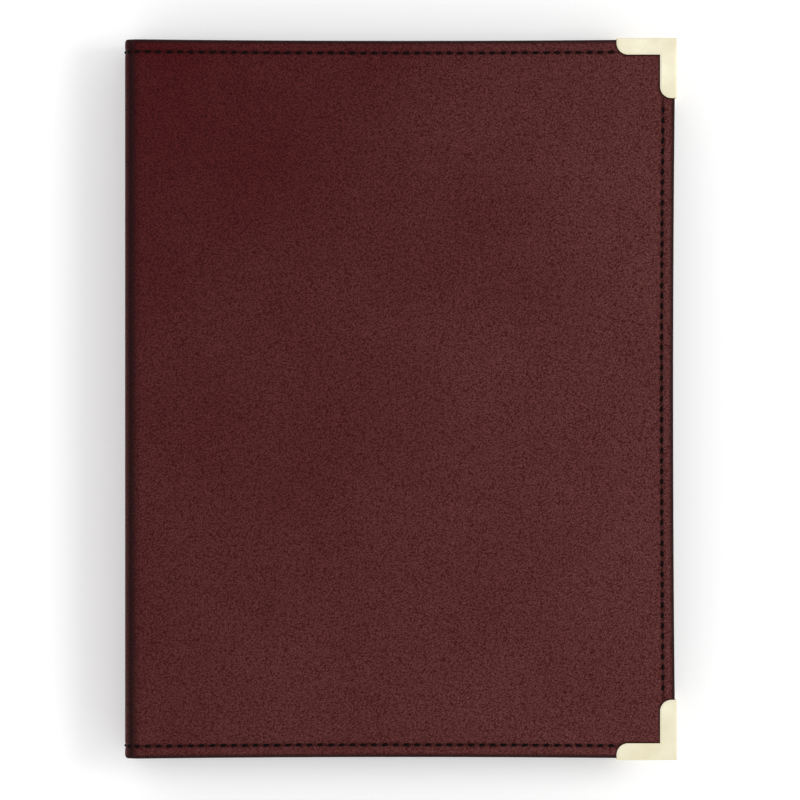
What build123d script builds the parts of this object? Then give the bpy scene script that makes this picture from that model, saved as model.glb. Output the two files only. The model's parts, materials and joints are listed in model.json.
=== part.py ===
from build123d import *
from math import asin, degrees
import os

# Three-ring coin album: a padded, stitched leatherette case with four brass corners, a steel ring
# mechanism riveted to the spine and eight clear pocket pages.
#
# Frame (mm): the album lies closed on its back cover. +X runs from the spine to the fore-edge, +Y from
# tail to head and +Z from the back cover up to the front cover. The origin is the bottom centre.

# ---- driving dimensions of the closed case ----
ALBUM_W = 241.0  # spine to fore-edge, over the brass corners
ALBUM_H = 315.0  # tail to head, over the brass corners
ALBUM_T = 40.0  # back face to front face
METAL_T = 0.5  # brass sheet of the corners

# ---- layers of a cover, from the outer face inwards ----
SKIN_T = 0.9
FOAM_T = 1.1
BOARD_T = 2.2
HEM_T = 0.6  # turned-in skin, with a filler sheet of the same thickness inside it
LINING_T = 0.6
HEM_W = 14.0
FIT = 0.3  # play between parts that lie side by side
EDGE_ROOM = 1.9  # soft space between the board and the skin at the three free edges
EDGE_R = 1.8
HEM_R = 0.9

# ---- spine and hinges ----
SPINE_BOARD_T = 1.6
HINGE_R = 5.5  # outside radius of the skin where it turns from a cover into the spine
GROOVE_GAP = 1.0  # from the hinge to the edge of either board

# ---- seam and brass corners ----
SEAM_INSET = 5.2
THREAD_W = 0.7
THREAD_D = 0.35
LINING_INSET = 1.5
CORNER_LEG = 26.3
CORNER_BAND = 7.3
CORNER_TIP_R = 5.0
CORNER_BRIM = 0.15  # upright part of the plate's edge, below its bevel
CORNER_BEVEL_ANGLE = 66.0

# ---- ring mechanism, measured from the spine lining ----
RING_R = 11.0  # middle of the wire
WIRE_R = 1.5
RING_H = 11.2  # height of the ring centre
RING_PITCH = 107.95
TIP_GAP = 0.1
PLATE_HALF_W = 11.0
PLATE_SIDE_H = 2.6
PLATE_H = 4.3
PLATE_T = 0.8
PLATE_HALF_L = 139.6
LIP_W = 1.6
LIP_T = 0.4
BLADE_Z = 0.5
BLADE_T = 1.0
BLADE_HALF_W = 10.0
BLADE_HALF_L = 137.5
BLADE_GAP = 0.15
BLADE_TAB = (1.0, 2.2)
BLADE_TAB_L = 140.4
LEG_TOP = 3.6
LEG_FOOT = 0.4
RIVET_Y = 54.0
RIVET_R = 1.6
RIVET_HEAD_R = 3.0
RIVET_HEAD_T = 0.4
RING_SLOT = (5.9, 10.1)  # each ring's slot in the plate, from and to
RING_SLOT_HALF_L = 2.3
PIN_R = 0.8
PIN_PLAY = 0.05
CHEEK_X = 7.8
CHEEK_H = 3.3
CHEEK_FOOT_Y = 138.0
CHEEK_END_Y = 143.8

# ---- booster levers: points (along the spine, height) from the pin's foot on the lining ----
LEVER_Y = 142.0
LEVER_Z = 2.0
LEVER_HALF_W = 7.4
LEVER_EYE_R = 1.35
LOWER_JAW = [(-0.4, 0.1), (-2.25, 0.1), (-2.25, 0.35), (-1.2, 0.35), (-1.2, LEVER_Z),
             (1.3, LEVER_Z), (1.3, 1.0), (0.5, 0.2)]
UPPER_JAW = [(-2.25, 2.4), (-2.25, 3.0), (-0.9, 3.4), (1.3, 3.4), (1.3, LEVER_Z), (-1.1, LEVER_Z)]
FINGER_TAB = [(-0.9, 3.3), (1.3, 3.3), (6.4, 15.6), (4.6, 16.4)]
TAB_ROLL = (5.5, 16.0)  # the rolled end of the finger tab
TAB_ROLL_R = 1.5

# ---- pages ----
PAGE_COUNT = 8
PAGE_W = 216.0
PAGE_H = 279.4
PAGE_EDGE = 1.5  # from the ring axis to the binding edge
PAGE_PITCH = 1.486
PAGE_SLOPE = 2.0  # degrees that a page leans down towards the fore-edge in the closed album
FILM_T = 0.25
CARD_T = 0.25
POCKET_GAP = 0.3
HOLE_L = 8.0
HOLE_W = 5.5
BINDING_W = 20.0
WELD_W = 1.6
COLUMNS = 4
ROWS = 5
ROW_LIP = 5.0  # gap above each pocket's mouth

# ---- worked out from the above ----
TOL = 1e-4
CUT = 1.0  # how far a cutting tool reaches past the surface that it opens
SPINE_X = -ALBUM_W / 2
FORE_X = ALBUM_W / 2 - METAL_T
SKIN_HALF_H = ALBUM_H / 2 - METAL_T
FLAT_X = SPINE_X + HINGE_R  # where a cover's flat skin meets the hinge
FOAM_Z = SKIN_T
BOARD_Z = FOAM_Z + FOAM_T
HEM_Z = BOARD_Z + BOARD_T
LINING_Z = HEM_Z + HEM_T
COVER_T = LINING_Z + LINING_T
INNER_HALF_H = SKIN_HALF_H - SKIN_T - EDGE_ROOM
BOARD_FORE_X = FORE_X - SKIN_T - EDGE_ROOM
SPINE_IN_X = SPINE_X + SKIN_T + SPINE_BOARD_T + LINING_T
SEAM_X = FORE_X - SEAM_INSET
SEAM_Y = SKIN_HALF_H - SEAM_INSET
PAGE_T = 2 * FILM_T + CARD_T + POCKET_GAP


def slab(x0, x1, y0, y1, z0, z1):
    """A box between two corners."""
    return Pos((x0 + x1) / 2, (y0 + y1) / 2, (z0 + z1) / 2) * Box(x1 - x0, y1 - y0, z1 - z0)


def along_y(outline, half_length):
    """Extrudes an outline drawn in X and Z evenly both ways along Y."""
    return extrude(Plane.XZ * outline, amount=half_length, both=True)


def to_front(shape):
    """The same part on the front cover: a mirror image about the album's middle height."""
    return mirror(shape, about=Plane.XY.offset(ALBUM_T / 2))


def on_spine(shape):
    """Places a part of the mechanism, drawn lying flat with Z as its height, on the upright spine."""
    return Pos(SPINE_IN_X, 0, ALBUM_T / 2) * Rot(0, 90, 0) * shape


def corner_outline():
    """The brass corner seen from above: an L whose two legs end in a rounded inner corner."""
    x1, y1 = ALBUM_W / 2, ALBUM_H / 2
    x0, y0 = x1 - CORNER_LEG, y1 - CORNER_LEG
    xi, yi = x1 - CORNER_BAND, y1 - CORNER_BAND
    outline = make_face(Polyline((x1, y1), (x0, y1), (x0, yi), (xi, yi), (xi, y0), (x1, y0), close=True))
    tips = [v for v in outline.vertices() if abs(v.X - x0) + abs(v.Y - yi) < TOL]
    tips += [v for v in outline.vertices() if abs(v.X - xi) + abs(v.Y - y0) < TOL]
    return fillet(tips, CORNER_TIP_R)


def corner_plate():
    """One face of a corner: a flat plate whose whole rim is bevelled."""
    brim = extrude(corner_outline(), amount=CORNER_BRIM)
    bevel = extrude(corner_outline(), amount=METAL_T - CORNER_BRIM, taper=CORNER_BEVEL_ANGLE)
    return brim + Pos(0, 0, CORNER_BRIM) * bevel


def brass_corner():
    """Head corner of the back cover: one folded sheet over both faces and both edges."""
    inner = Pos(0, 0, COVER_T) * corner_plate()
    outer = Pos(0, 0, METAL_T) * mirror(corner_plate(), about=Plane.XY)
    x1, y1 = ALBUM_W / 2, ALBUM_H / 2
    z0, z1 = METAL_T - CORNER_BRIM, COVER_T + CORNER_BRIM
    fore_wall = slab(x1 - METAL_T, x1, y1 - CORNER_LEG, y1, z0, z1)
    head_wall = slab(x1 - CORNER_LEG, x1, y1 - METAL_T, y1, z0, z1)
    return outer + inner + fore_wall + head_wall


def corner_seat():
    """The room that both back-cover corner plates take out of the skin."""
    plate = extrude(corner_outline(), amount=METAL_T)
    return plate + mirror(plate, about=Plane.XZ)


def seam_runs(z0, z1, half_w, x_start):
    """The seam's three straight runs round a cover, which stop at the brass corners."""
    x_end = ALBUM_W / 2 - CORNER_LEG
    y_end = ALBUM_H / 2 - CORNER_LEG
    head = slab(x_start, x_end, SEAM_Y - half_w, SEAM_Y + half_w, z0, z1)
    fore = slab(SEAM_X - half_w, SEAM_X + half_w, -y_end, y_end, z0, z1)
    return [head, fore, mirror(head, about=Plane.XZ)]


def cover_thread():
    """Seam thread of the back cover: three runs on the outer face and three on the lining."""
    outside = seam_runs(0, THREAD_D, THREAD_W / 2, FLAT_X)
    inside = seam_runs(COVER_T - THREAD_D, COVER_T, THREAD_W / 2, FLAT_X + LINING_T)
    return outside + inside


def cover_skin():
    """Back cover's leatherette: the outer face, wrapped round the edges and turned in as a hem."""
    skin = slab(FLAT_X, FORE_X, -SKIN_HALF_H, SKIN_HALF_H, 0, LINING_Z)

    def rim(z):
        return [e for e in skin.edges() if abs(e.center().Z - z) < TOL and e.center().X > FLAT_X + TOL]

    skin = fillet(rim(0), EDGE_R)
    skin = fillet(rim(LINING_Z), HEM_R)
    half = SKIN_HALF_H - SKIN_T
    skin -= slab(FLAT_X - CUT, FORE_X - SKIN_T, -half, half, SKIN_T, HEM_Z)
    half = SKIN_HALF_H - HEM_W
    skin -= slab(FLAT_X - CUT, FORE_X - HEM_W, -half, half, HEM_Z - CUT, LINING_Z + CUT)
    half = SKIN_HALF_H - LINING_INSET
    skin -= slab(FLAT_X - CUT, FLAT_X + LINING_T, -half, half, HEM_Z - CUT, LINING_Z + CUT)
    skin -= corner_seat()
    for run in seam_runs(0, THREAD_D, THREAD_W / 2, FLAT_X):
        skin -= run
    return skin


def cover_foam():
    return slab(FLAT_X + GROOVE_GAP, BOARD_FORE_X, -INNER_HALF_H, INNER_HALF_H, FOAM_Z, BOARD_Z)


def cover_board():
    return slab(FLAT_X + GROOVE_GAP, BOARD_FORE_X, -INNER_HALF_H, INNER_HALF_H, BOARD_Z, HEM_Z)


def cover_filler():
    """Thin sheet that levels the board with the turned-in hem."""
    half = SKIN_HALF_H - HEM_W - FIT
    return slab(FLAT_X + GROOVE_GAP, FORE_X - HEM_W - FIT, -half, half, HEM_Z, LINING_Z)


def cover_lining():
    half = SKIN_HALF_H - LINING_INSET
    x0 = FLAT_X + LINING_T
    lining = slab(x0, FORE_X - LINING_INSET, -half, half, LINING_Z, COVER_T)
    for run in seam_runs(COVER_T - THREAD_D, COVER_T, THREAD_W / 2, x0):
        lining -= run
    return lining


def hinge_band(r_in, r_out):
    """Section of a quarter tube that turns from the back cover up into the spine."""
    ring = Circle(r_out) - Circle(r_in)
    quarter = ring & (Pos(-r_out / 2, -r_out / 2) * Rectangle(r_out, r_out))
    return Pos(FLAT_X, HINGE_R) * quarter


def hinge_skin():
    return along_y(hinge_band(HINGE_R - SKIN_T, HINGE_R), SKIN_HALF_H)


def hinge_lining():
    """Lining glued down into the groove between the two boards."""
    half = SKIN_HALF_H - LINING_INSET
    r_out = HINGE_R - SKIN_T
    groove = along_y(hinge_band(r_out - LINING_T, r_out), half)
    cover_wall = slab(FLAT_X, FLAT_X + LINING_T, -half, half, SKIN_T, COVER_T)
    spine_wall = slab(SPINE_X + SKIN_T, SPINE_IN_X, -half, half, HINGE_R, HINGE_R + LINING_T)
    return groove + cover_wall + spine_wall


def spine_skin():
    """Leatherette over the spine board, with its ends turned in at head and tail."""
    z0, z1 = HINGE_R, ALBUM_T - HINGE_R
    board_x = SPINE_X + SKIN_T
    skin = slab(SPINE_X, board_x + SPINE_BOARD_T, -SKIN_HALF_H, SKIN_HALF_H, z0, z1)
    rim = [e for e in skin.edges() if abs(abs(e.center().Y) - SKIN_HALF_H) < TOL]
    rim = [e for e in rim if abs(e.center().X - SPINE_X) < TOL]
    skin = fillet(rim, SKIN_T)
    half = SKIN_HALF_H - SKIN_T
    skin -= slab(board_x, board_x + SPINE_BOARD_T + CUT, -half, half, z0 - CUT, z1 + CUT)
    for run in spine_seam():
        skin -= run
    return skin


def spine_board():
    x0 = SPINE_X + SKIN_T
    z0 = HINGE_R + GROOVE_GAP
    board = slab(x0, x0 + SPINE_BOARD_T, -INNER_HALF_H, INNER_HALF_H, z0, ALBUM_T - z0)
    for rivet in rivets():
        board -= rivet
    return board


def spine_lining():
    half = SKIN_HALF_H - LINING_INSET
    z0 = HINGE_R + LINING_T
    lining = slab(SPINE_IN_X - LINING_T, SPINE_IN_X, -half, half, z0, ALBUM_T - z0)
    for rivet in rivets():
        lining -= rivet
    return lining


def spine_seam():
    """The outer seam's two short runs across the spine."""
    half = THREAD_W / 2
    run = slab(SPINE_X, SPINE_X + THREAD_D, SEAM_Y - half, SEAM_Y + half, HINGE_R, ALBUM_T - HINGE_R)
    return [run, mirror(run, about=Plane.XZ)]


# ---- ring mechanism, drawn lying flat: X across the plate, Y along the spine, Z away from the lining ----


def arch_face(half_w, side_h, crown_h, base_z):
    """Section of the plate: straight sides and an arched crown."""
    outline = Polyline((-half_w, side_h), (-half_w, base_z), (half_w, base_z), (half_w, side_h))
    return make_face(Curve() + [outline, ThreePointArc((-half_w, side_h), (0, crown_h), (half_w, side_h))])


def ring_ys():
    return [RING_PITCH * i for i in (-1, 0, 1)]


def cheek():
    """Ear at the plate's head end, on the +X side, with the hole for the lever's pin."""
    ear = slab(CHEEK_X, CHEEK_X + PLATE_T, CHEEK_FOOT_Y, CHEEK_END_Y, 0, CHEEK_H)
    hole = Pos(CHEEK_X, LEVER_Y, LEVER_Z) * Rot(0, 90, 0) * Cylinder(PIN_R, 4 * PLATE_T)
    return ear - hole


def ring_plate():
    """Arched steel cover that springs the two blades together and carries the levers' pins."""
    shell = along_y(arch_face(PLATE_HALF_W, PLATE_SIDE_H, PLATE_H, 0), PLATE_HALF_L)
    inner_w = PLATE_HALF_W - PLATE_T
    inner = arch_face(inner_w, PLATE_SIDE_H - PLATE_T, PLATE_H - PLATE_T, LIP_T)
    shell -= along_y(inner, PLATE_HALF_L + CUT)
    lip_x = PLATE_HALF_W - LIP_W
    y_cut = PLATE_HALF_L + CUT
    shell -= slab(-lip_x, lip_x, -y_cut, y_cut, -CUT, PLATE_SIDE_H - PLATE_T)
    for y in ring_ys():
        slot = slab(*RING_SLOT, y - RING_SLOT_HALF_L, y + RING_SLOT_HALF_L, 2 * LIP_T, PLATE_H + CUT)
        shell -= slot
        shell -= mirror(slot, about=Plane.YZ)
    for y in (-RIVET_Y, RIVET_Y):
        shell -= Pos(0, y, PLATE_H) * Cylinder(RIVET_R, 2 * PLATE_H)
    ear = cheek()
    for pair in (ear, mirror(ear, about=Plane.YZ)):
        shell += pair
        shell += mirror(pair, about=Plane.XZ)
    return shell


def rivets_flat():
    """Two rivets through the plate, the lining and the spine board."""
    foot_z = -LINING_T - SPINE_BOARD_T
    made = []
    for y in (-RIVET_Y, RIVET_Y):
        length = PLATE_H - foot_z
        shank = Pos(0, y, foot_z + length / 2) * Cylinder(RIVET_R, length)
        head = Pos(0, y, PLATE_H + RIVET_HEAD_T / 2) * Cylinder(RIVET_HEAD_R, RIVET_HEAD_T)
        foot = Pos(0, y, foot_z + RIVET_HEAD_T / 2) * Cylinder(RIVET_HEAD_R, RIVET_HEAD_T)
        made.append(shank + head + foot)
    return made


def rivets():
    return [on_spine(r) for r in rivets_flat()]


def half_ring(y):
    """The half ring on the +X side: an arc from the tip down to the plate, then a straight leg."""
    leg_angle = degrees(asin((RING_H - LEG_TOP) / RING_R))
    tip_angle = degrees(asin(TIP_GAP / 2 / RING_R))
    centre = (0, RING_H)
    path = CenterArc(centre, RING_R, -leg_angle, 90 - tip_angle + leg_angle)
    path = Pos(0, y, 0) * (Plane.XZ * path)
    end = path @ 1
    start = path @ 0
    section = Plane(origin=end, z_dir=path % 1) * Circle(WIRE_R)
    arc = sweep(section, path=path)
    leg_x = start.X
    leg_len = LEG_TOP - LEG_FOOT
    leg = Pos(leg_x, y, LEG_FOOT + leg_len / 2) * Cylinder(WIRE_R, leg_len)
    knee = Pos(leg_x, y, LEG_TOP) * Sphere(WIRE_R)
    return arc + leg + knee


def blade():
    """Flat steel strip on the +X side that three half rings are riveted into."""
    z0, z1 = BLADE_Z, BLADE_Z + BLADE_T
    strip = slab(BLADE_GAP, BLADE_HALF_W, -BLADE_HALF_L, BLADE_HALF_L, z0, z1)
    strip += slab(*BLADE_TAB, -BLADE_TAB_L, BLADE_TAB_L, z0, z1)
    for y in (-RIVET_Y, RIVET_Y):
        strip -= Pos(0, y, BLADE_Z) * Cylinder(RIVET_R * 2, 4 * BLADE_T)
    for y in ring_ys():
        strip -= half_ring(y)
    return strip


def lever_face(outline):
    return make_face(Polyline(*[(LEVER_Y + dy, z) for dy, z in outline], close=True))


def lever():
    """Head lever: a fork that grips the blades' tabs, a pivot eye and a finger tab."""
    profile = Sketch() + [lever_face(outline) for outline in (LOWER_JAW, UPPER_JAW, FINGER_TAB)]
    profile += Pos(LEVER_Y, LEVER_Z) * Circle(LEVER_EYE_R)
    profile += Pos(LEVER_Y + TAB_ROLL[0], TAB_ROLL[1]) * Circle(TAB_ROLL_R)
    profile -= Pos(LEVER_Y, LEVER_Z) * Circle(PIN_R + PIN_PLAY)
    return extrude(Plane.YZ * profile, amount=LEVER_HALF_W, both=True)


def lever_pins():
    pin = Pos(0, LEVER_Y, LEVER_Z) * Rot(0, 90, 0) * Cylinder(PIN_R, 2 * (CHEEK_X + PLATE_T))
    return [pin, mirror(pin, about=Plane.XZ)]


# ---- pages, drawn lying flat: X out from the ring axis, Z the page's normal ----


def page_offset(number):
    """How far a page's middle plane lies above the ring axis; page 1 is next to the front cover."""
    return PAGE_PITCH * ((PAGE_COUNT + 1) / 2 - number)


def in_place(shape, number):
    """Moves a page part from the flat to its own place on the rings of the closed album."""
    ring_axis = Pos(SPINE_IN_X + RING_H, 0, ALBUM_T / 2)
    return ring_axis * Rot(0, PAGE_SLOPE, 0) * Pos(0, 0, page_offset(number)) * shape


def page_card():
    """Black card behind the pockets."""
    x0, x1 = PAGE_EDGE + BINDING_W + WELD_W + FIT, PAGE_EDGE + PAGE_W - WELD_W - FIT
    half = PAGE_H / 2 - WELD_W - FIT
    z0 = -PAGE_T / 2 + FILM_T
    return slab(x0, x1, -half, half, z0, z0 + CARD_T)


def page_back_film():
    """Back sheet of a page, with its binding strip and three oblong ring holes."""
    half = PAGE_H / 2
    z0 = -PAGE_T / 2
    film = slab(PAGE_EDGE, PAGE_EDGE + PAGE_W, -half, half, z0, z0 + FILM_T)
    hole = extrude(SlotOverall(HOLE_L, HOLE_W), amount=PAGE_T, both=True)
    for y in ring_ys():
        film -= Pos(RING_R, y, 0) * hole
    return film


def page_sleeve():
    """Clear sleeve: the back film, five rows of pocket film, and the welds between them."""
    half = PAGE_H / 2
    x0, x1 = PAGE_EDGE + BINDING_W, PAGE_EDGE + PAGE_W
    back_top = -PAGE_T / 2 + FILM_T
    front_z = PAGE_T / 2 - FILM_T
    card_top = back_top + CARD_T
    row_h = PAGE_H / ROWS
    column_w = (x1 - x0 - WELD_W) / COLUMNS
    sleeve = page_back_film()
    for row in range(ROWS):
        y0 = -half + row * row_h
        sleeve += slab(x0, x1, y0, y0 + row_h - ROW_LIP, front_z, PAGE_T / 2)
        weld_z = back_top if row == 0 else card_top
        sleeve += slab(x0 + WELD_W, x1 - WELD_W, y0, y0 + WELD_W, weld_z, front_z)
    for column in range(COLUMNS + 1):
        x = x0 + column * column_w
        weld_z = card_top if 0 < column < COLUMNS else back_top
        for row in range(ROWS):
            y0 = -half + row * row_h
            y_low = y0 + WELD_W if 0 < column < COLUMNS else y0
            sleeve += slab(x, x + WELD_W, y_low, y0 + row_h - ROW_LIP, weld_z, front_z)
    return sleeve


def write(name, shape):
    """Writes one node; a list is a group of separate solids."""
    if isinstance(shape, list):
        shape = Compound(shape)
    export_step(shape, os.path.join("parts", name + ".step"))


def write_cover(side, place):
    """Writes the layers, seam and corners of one cover."""
    write(f"{side}_cover_skin", place(cover_skin()))
    write(f"{side}_cover_foam", place(cover_foam()))
    write(f"{side}_cover_board", place(cover_board()))
    write(f"{side}_cover_filler", place(cover_filler()))
    write(f"{side}_cover_lining", place(cover_lining()))
    write(f"{side}_cover_thread", [place(run) for run in cover_thread()])
    corner = place(brass_corner())
    write(f"{side}_head_corner", corner)
    write(f"{side}_tail_corner", mirror(corner, about=Plane.XZ))
    write(f"{side}_hinge_skin", place(hinge_skin()))
    write(f"{side}_hinge_lining", place(hinge_lining()))


def write_spine():
    write("spine_skin", spine_skin())
    write("spine_board", spine_board())
    write("spine_lining", spine_lining())
    write("spine_thread", spine_seam())


def write_mechanism():
    """Writes the ring mechanism; the +X side of the flat drawing is the back cover's side."""
    write("ring_plate", on_spine(ring_plate()))
    write("plate_rivets", rivets())
    write("lever_pins", [on_spine(pin) for pin in lever_pins()])
    back_blade = blade()
    write("back_blade", on_spine(back_blade))
    write("front_blade", on_spine(mirror(back_blade, about=Plane.YZ)))
    for place, y in zip(("tail", "middle", "head"), ring_ys()):
        ring = half_ring(y)
        write(f"back_half_ring_{place}", on_spine(ring))
        write(f"front_half_ring_{place}", on_spine(mirror(ring, about=Plane.YZ)))
    head_lever = lever()
    write("head_lever", on_spine(head_lever))
    write("tail_lever", on_spine(mirror(head_lever, about=Plane.XZ)))


def write_pages():
    card = page_card()
    sleeve = page_sleeve()
    for number in range(1, PAGE_COUNT + 1):
        write(f"page_{number}_sleeve", in_place(sleeve, number))
        write(f"page_{number}_card", in_place(card, number))


os.makedirs("parts", exist_ok=True)
write_cover("back", lambda shape: shape)
write_cover("front", to_front)
write_spine()
write_mechanism()
write_pages()
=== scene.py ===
import json
import math

import bmesh
import bpy
import numpy as np
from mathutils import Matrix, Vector
from mathutils.geometry import tessellate_polygon


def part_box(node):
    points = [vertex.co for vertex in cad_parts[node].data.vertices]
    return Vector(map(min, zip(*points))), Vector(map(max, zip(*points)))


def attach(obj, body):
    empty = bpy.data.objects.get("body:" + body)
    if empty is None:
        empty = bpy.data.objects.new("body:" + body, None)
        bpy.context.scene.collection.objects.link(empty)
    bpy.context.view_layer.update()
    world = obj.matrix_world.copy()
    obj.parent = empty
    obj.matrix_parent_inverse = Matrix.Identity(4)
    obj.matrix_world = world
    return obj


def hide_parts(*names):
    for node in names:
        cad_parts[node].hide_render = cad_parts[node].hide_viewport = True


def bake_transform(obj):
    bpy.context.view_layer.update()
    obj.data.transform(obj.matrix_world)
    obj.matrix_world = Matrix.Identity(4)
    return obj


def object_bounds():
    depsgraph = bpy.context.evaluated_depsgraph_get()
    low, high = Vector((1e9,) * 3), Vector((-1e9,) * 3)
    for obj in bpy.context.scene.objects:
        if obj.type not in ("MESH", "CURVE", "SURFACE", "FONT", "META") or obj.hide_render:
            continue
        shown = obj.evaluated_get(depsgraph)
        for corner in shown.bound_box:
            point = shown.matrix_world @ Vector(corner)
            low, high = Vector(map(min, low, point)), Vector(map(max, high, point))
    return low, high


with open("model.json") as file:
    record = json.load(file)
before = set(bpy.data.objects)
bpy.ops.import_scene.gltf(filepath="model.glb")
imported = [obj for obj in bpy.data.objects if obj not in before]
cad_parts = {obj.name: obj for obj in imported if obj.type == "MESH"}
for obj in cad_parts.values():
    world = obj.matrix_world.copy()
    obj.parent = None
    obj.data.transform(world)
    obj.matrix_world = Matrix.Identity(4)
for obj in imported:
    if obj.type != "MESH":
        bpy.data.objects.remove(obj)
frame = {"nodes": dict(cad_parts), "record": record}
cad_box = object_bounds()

# Looks of a padded, stitched three-ring coin album. Lengths inside the shape code are in millimetres;
# they become metres when a mesh is made. "Depth" is the distance inwards from a cover's outer face.

MM = 0.001


def box_mm(node):
    """Lowest and highest corner of a CAD node, in millimetres."""
    low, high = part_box(node)
    return [c / MM for c in low], [c / MM for c in high]


# ---- sizes read from the frame ----
COVER_LOW, COVER_HIGH = box_mm("back_cover_skin")
LINING_LOW, LINING_HIGH = box_mm("back_cover_lining")
CORNER_LOW, CORNER_HIGH = box_mm("back_head_corner")
SPINE_LOW = box_mm("spine_skin")[0]
SPINE_LINING_HIGH = box_mm("spine_lining")[1]
ALBUM_T = cad_box[1].z / MM
SPINE_X = SPINE_LOW[0]
SPINE_IN_X = SPINE_LINING_HIGH[0]
FLAT_X = COVER_LOW[0]
FORE_X = COVER_HIGH[0]
HALF_H = COVER_HIGH[1]
HINGE_R = FLAT_X - SPINE_X
HEM_DEPTH = COVER_HIGH[2]
COVER_T = LINING_HIGH[2]
LINING_T = COVER_T - LINING_LOW[2]
PLATE_X = CORNER_LOW[0]  # where the seam along head and tail meets a brass corner
PLATE_Y = CORNER_LOW[1]
TIP_X = CORNER_HIGH[0]
TIP_Y = CORNER_HIGH[1]

# ---- the case's sewn skin ----
EDGE_R = 1.8
HEM_R = 0.9
HEM_W = 14.0
SKIN_T = 0.9
SEAM_INSET = 5.2
END_SEAM_INSET = 5.5  # the seam along head and tail lies a little further in than the fore-edge's
PITCH_X = 4.7  # stitch pitch along head and tail
PITCH_Y = 4.5  # stitch pitch along the fore-edge
STITCH_L = 3.0
STITCH_R = 0.68
STITCH_SLANT = 0.16
STITCH_FLAT = 0.8  # a stitch's height as a share of its width
STITCH_SIDES = 8
# Along a stitch: (share of its half length, radius, lift off the sheet). Both ends dive into the sheet.
STITCH_RINGS = [(-1.0, 0.2, -0.5), (-0.82, 0.46, -0.2), (-0.45, STITCH_R, 0.22), (0.0, STITCH_R, 0.32),
                (0.45, STITCH_R, 0.22), (0.82, 0.46, -0.2), (1.0, 0.2, -0.5)]
GROOVE_D = 0.7
DYE_AND_SHADE_W = 0.62  # half width of the dark dye and painted shade in the seam
GROOVE_W = 0.95
GROOVE_WAVE = 0.3  # the groove is this much deeper or shallower, at a stitch and between two
SPINE_GROOVE = 0.9  # the groove's share of its depth on the hinge and spine
SEAM_DYE_AND_SHADE = 0.7  # how dark the dye and painted shade are in the seam, from 0 to 1
HINGE_CREASE_X = 2.5  # from the spine's face to the crease pressed along the hinge
HINGE_CREASE_W = 1.5
HINGE_CREASE_D = 0.5
PUFF = 0.28
PUFF_RISE = 1.6  # inside the seam the padding rises over this distance,
PUFF_START = 2.0  # and from here
PUFF_FADE = 20.0  # sinks back over this one
HINGE_EASE = 6.0  # the padding starts this gently beside the hinge
SWELL = 0.1  # height of the padding's slow unevenness
SWELL_EASE = 12.0
PUCKER = 0.05
PUCKER_REACH = 2.6
WAIST_X = 1.0  # how far the fore-edge bows in at its middle
WAIST_Y = 0.7  # the same for head and tail
PLATE_BAND = 7.3
PLATE_TIP_R = 5.0
PLATE_SINK = 0.72
PLATE_PRESS = 0.3  # the skin dips this far beside a plate
PLATE_HALO = 0.9
RIM_CORE = 0.6  # the rim's dye and painted shade are darkest this far in from the edge, and fade out over RIM_FADE
RIM_FADE = 1.7
WALL_LIGHT = 0.3  # how much less dye and painted shade the upright sides get than the rim
FOLD_FADE = 2.6  # how far the hinge crease's dye and painted shade spread towards the cover
FOAM_ROWS = 41
FOAM_COLUMNS = 53
FOAM_CROWD = 0.6  # below 1, this crowds the pad's grid lines towards its rim
FOAM_RIM = 0.35  # thickness at the rim, and what the roll adds, as shares of the pad's room
FOAM_CROWN = 0.6
FOAM_SAG = 0.04
TOUCH = 0.02  # keeps pieces that lie on each other from sharing a surface
FAR = 1000.0
LINING_GAP = 1.5  # from the skin's edge to the lining's
LINING_EDGE_STEPS = (6.0, 4.5, 3.0, 1.5, 0.6)  # grid lines near the lining's fore-edge, measured from it
LINING_END_STEPS = (0.0, 0.5, 1.5, 3.0, 4.5, 6.0, 9.0)  # the same at its head and tail
LINING_ROUND = 0.25  # height of the small rounding at the lining's bends
LINING_SHARE = 0.8  # the lining's thickness as a share of the room it has
DIMPLE_D = 0.18  # the seam draws the lining in
DIMPLE_W = 0.9
FINE = 0.6  # grid spacing near the seam
FINE_REACH = 13.0
CLOSEST = 0.2  # grid lines nearer than this to the last one are left out

SPINE_RUN = ALBUM_T / 2 - HINGE_R
HINGE_RUN = math.pi / 2 * HINGE_R
FLAT_START = SPINE_RUN + HINGE_RUN
HINGE_STEPS = 8
HINGE_STEP = HINGE_RUN / HINGE_STEPS  # grid spacing round the hinge
WRAP_DROP = HEM_DEPTH - EDGE_R - HEM_R
WRAP_RUNS = (math.pi / 2 * EDGE_R, WRAP_DROP, math.pi / 2 * HEM_R, HEM_W - HEM_R)

# Where a sheet's bend between a cover and the spine would start and end, along the diagonal of the hinge; no
# bend is made
BEND_START = 3.4
BEND_END = 6.2


def smooth(value):
    """Eases a number from 0 to 1."""
    t = np.clip(value, 0, 1)
    return t * t * (3 - 2 * t)


def wrap(beyond):
    """(step outwards, depth) of a sheet that turns over an edge, so far beyond the flat."""
    around, drop, under, hem = WRAP_RUNS
    a = np.clip(beyond, 0, around) / EDGE_R
    out = EDGE_R * np.sin(a)
    depth = EDGE_R * (1 - np.cos(a))
    depth = depth + np.clip(beyond - around, 0, drop)
    b = np.clip(beyond - around - drop, 0, under) / HEM_R
    out = out - HEM_R * (1 - np.cos(b))
    depth = depth + HEM_R * np.sin(b)
    back = np.clip(beyond - around - drop - under, 0, hem)
    return out - back, depth


def across(p):
    """(x, depth, inward normal's x, inward normal's depth), p along the sheet from the spine's middle."""
    a = np.clip(p - SPINE_RUN, 0, HINGE_RUN) / HINGE_R
    nx, nd = np.cos(a), np.sin(a)
    x = FLAT_X - HINGE_R * nx + np.clip(p - FLAT_START, 0, FORE_X - EDGE_R - FLAT_X)
    depth = HINGE_R * (1 - nd) + np.clip(SPINE_RUN - p, 0, None)
    out, drop = wrap(p - FLAT_START - (FORE_X - EDGE_R - FLAT_X))
    return x + out, depth + drop, nx, nd


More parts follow.
